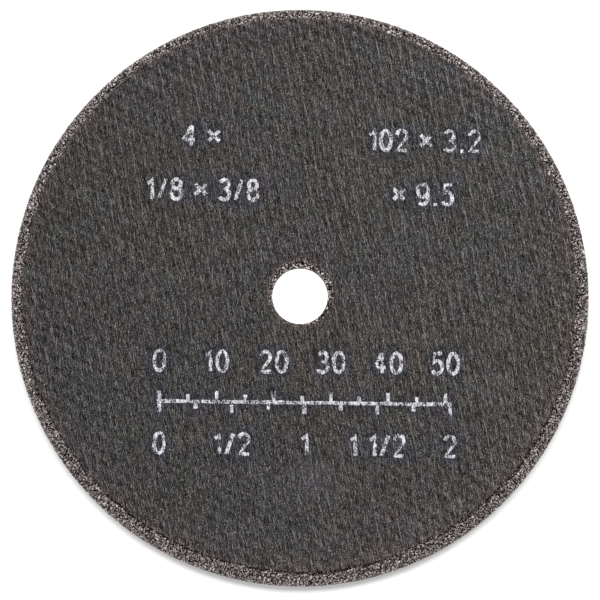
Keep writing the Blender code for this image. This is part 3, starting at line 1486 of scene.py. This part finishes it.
    def soak(self, facing: Piece, marks: list[Piece]) -> None:
        """Notes how near each point of the facing lies to the ink, and where the ink is smudged.

        Args:
            facing: The facing under the ink.
            marks: The pieces of ink.
        """
        inked = np.concatenate([Bench.places(mark) for mark in marks])[::3]
        tree = KDTree(len(inked))
        for index, place in enumerate(inked):
            tree.insert((place[0], place[1], 0.0), index)
        tree.balance()
        low, high = inked.min(0) - self.soak_reach, inked.max(0) + self.soak_reach
        places = Bench.places(facing)
        away = np.full(len(places), self.soak_reach)
        inside = ((places[:, :2] > low[:2]) & (places[:, :2] < high[:2])).all(1)
        for index in np.flatnonzero(inside):
            away[index] = tree.find((places[index, 0], places[index, 1], 0.0))[2]
        Bench.note(facing, "soaked", near(away, self.soak_reach) ** self.soak_fall)
        off = (places[:, :2] - self.smudge_middle) / self.smudge_reach
        Bench.note(facing, "smudge", np.exp(-(off**2).sum(1) / 2))


@dataclass(frozen=True)
class Studio:
    """The pale floor, the soft lights and the camera."""

    tilt: float = math.radians(2.0)
    distance: float = 199.0
    focal_pixels: float = 1127.0
    centre_row: float = 296.05
    sensor: float = 36.0
    nearest: float = 0.01
    fill: float = 0.30
    key_share: float = 0.74
    key_height: float = math.radians(63.0)
    key_distance: float = 700.0
    key_size: Pair = (480.0, 180.0)
    floor_size: float = 6.0
    floor_colour: Colour = (0.92, 0.92, 0.92, 1.0)

    # The floor's own glow, which only the camera sees: all over, far away (in metres) and in the bore,
    # where it is painted light that lifts the wheel's shade
    floor_glow: float = 0.27
    far_floor: Pair = (0.1, 0.9)
    far_glow: float = 0.55
    bore_reach: float = 6.0
    bore_glow: float = 0.8

    def floor(self) -> None:
        """Lays the floor, which stays white around the wheel and keeps its shadow, except in the bore,
        where painted light lifts the shade.
        """
        bpy.ops.object.select_all(action="DESELECT")
        bpy.ops.mesh.primitive_plane_add(size=self.floor_size)
        plane = bpy.context.object
        plane.name = "floor"
        material, graph, shader, place = new_material("pale_floor")
        plain = {"Base Color": self.floor_colour, "Roughness": 1.0, "Specular IOR Level": 0.0}
        graph.fill(shader, plain)
        away = graph.vector("LENGTH", place)
        # Painted light in the bore, which lifts the shade that the wheel casts on the floor there
        in_bore = graph.math("LESS_THAN", away, self.bore_reach * MM)
        level = graph.math("MULTIPLY_ADD", in_bore, self.bore_glow, self.floor_glow)
        far = graph.spread(away, *self.far_floor)
        level = graph.math("MULTIPLY_ADD", far, self.far_glow, level)
        seen = graph.add("ShaderNodeLightPath").outputs["Is Camera Ray"]
        glow = graph.add("ShaderNodeEmission", {"Strength": graph.math("MULTIPLY", seen, level)})
        both = graph.add("ShaderNodeAddShader", {0: shader.outputs[0], 1: glow.outputs[0]})
        graph.fill(material.node_tree.nodes["Material Output"], {"Surface": both.outputs[0]})
        plane.data.materials.append(material)

    def world(self) -> None:
        """Lights the wheel evenly from all round, and shows white behind it."""
        world = bpy.data.worlds.new("studio")
        bpy.context.scene.world = world
        world.use_nodes = True
        graph = Graph(world.node_tree)
        seen = graph.add("ShaderNodeLightPath").outputs["Is Camera Ray"]
        strength = graph.math("MAXIMUM", seen, self.fill)
        graph.fill(world.node_tree.nodes["Background"], {"Color": WHITE, "Strength": strength})

    def key(self) -> None:
        """Hangs one soft light above the wheel's far side, which throws its shadow towards the camera."""
        data = bpy.data.lights.new("key", "AREA")
        data.shape = "RECTANGLE"
        data.size, data.size_y = self.key_size[0] * MM, self.key_size[1] * MM
        distance = self.key_distance * MM
        data.energy = self.key_share * math.pi**2 * distance**2 / math.sin(self.key_height)
        lamp = Bench.bring("key", data)
        away = (distance * part for part in (math.cos(self.key_height), math.sin(self.key_height)))
        lamp.location = (0.0, *away)
        lamp.rotation_euler = (-lamp.location).to_track_quat("-Z", "Y").to_euler()

    def camera(self, middle: float) -> None:
        """Puts the camera nearly above the wheel, a little towards its near side.

        Args:
            middle: Height of the wheel's middle plane, in metres.
        """
        data = bpy.data.cameras.new("camera")
        data.sensor_width = self.sensor
        data.lens = self.focal_pixels / PHOTO_SIDE * self.sensor
        data.clip_start = self.nearest
        camera = Bench.bring("camera", data)
        distance = self.distance * MM
        aim_down = math.atan((PHOTO_SIDE / 2 - self.centre_row) / self.focal_pixels)
        camera.location = (0.0, -distance * math.sin(self.tilt), middle + distance * math.cos(self.tilt))
        camera.rotation_euler = (self.tilt - aim_down, 0.0, 0.0)
        bpy.context.scene.camera = camera

    def build(self, middle: float) -> None:
        """Sets up the whole studio.

        Args:
            middle: Height of the wheel's middle plane, in metres.
        """
        self.floor()
        self.world()
        self.key()
        self.camera(middle)
        bpy.context.scene.view_settings.view_transform = "Standard"
        log.info("studio ready")


def main() -> None:
    """Builds the wheel's pieces in order, then the studio round them."""
    sizes = WheelSizes.from_frame(WHEEL_NODE)
    effects = Effects()
    facing_material = FacingFinish("pressed_fibre_facing", 0.85, 0.15).make(effects)
    ink_material = InkFinish("worn_stamping_ink", 0.8, 0.2).make(effects)
    bond_material = BondFinish("resin_bond", 0.9, 0.08).make(effects)
    grain_material = GrainFinish("abrasive_grain", 0.6, 0.25).make(effects)

    core = BondedCore(sizes)
    core.build(bond_material)
    rim, bore = core.rim_outline(), core.bore_outline()
    border = [(sizes.facing_radius - 1.05, sizes.thickness), (sizes.facing_radius, sizes.thickness)]
    chip, splinter = GrainShape.CHIP, GrainShape.SPLINTER
    for field in (
        GrainField("rim_crystals", sizes, rim, 0.53, (0.13, 0.25), (0.09, 0.20)),
        GrainField("rim_chips", sizes, rim, 0.40, (0.08, 0.15), (0.02, 0.13), chip, 37),
        GrainField("rim_splinters", sizes, rim, 0.285, (0.10, 0.18), (0.02, 0.11), splinter, 40),
        GrainField("bore_crystals", sizes, bore, 0.5, (0.15, 0.28), (0.1, 0.22), seed=38),
        GrainField("bore_chips", sizes, bore, 0.45, (0.08, 0.15), (0.02, 0.12), chip, 41),
        GrainField(
            "border_chips", sizes, border, 0.31, (0.10, 0.19), (0.06, 0.14), chip, 39, (0.0, 0.62), True
        ),
    ):
        field.build(grain_material)
    front = Facing(sizes, Side.FRONT, sizes.front_shift, hole_shift=0.28).build(facing_material)
    Facing(sizes, Side.BACK, rings=56).build(facing_material)
    marking = Print(sizes)
    marking.soak(front, marking.build(ink_material))
    Studio().build(sizes.thickness / 2 * MM)

    log.info("boxes written")


if __name__ == "__main__":
    main()
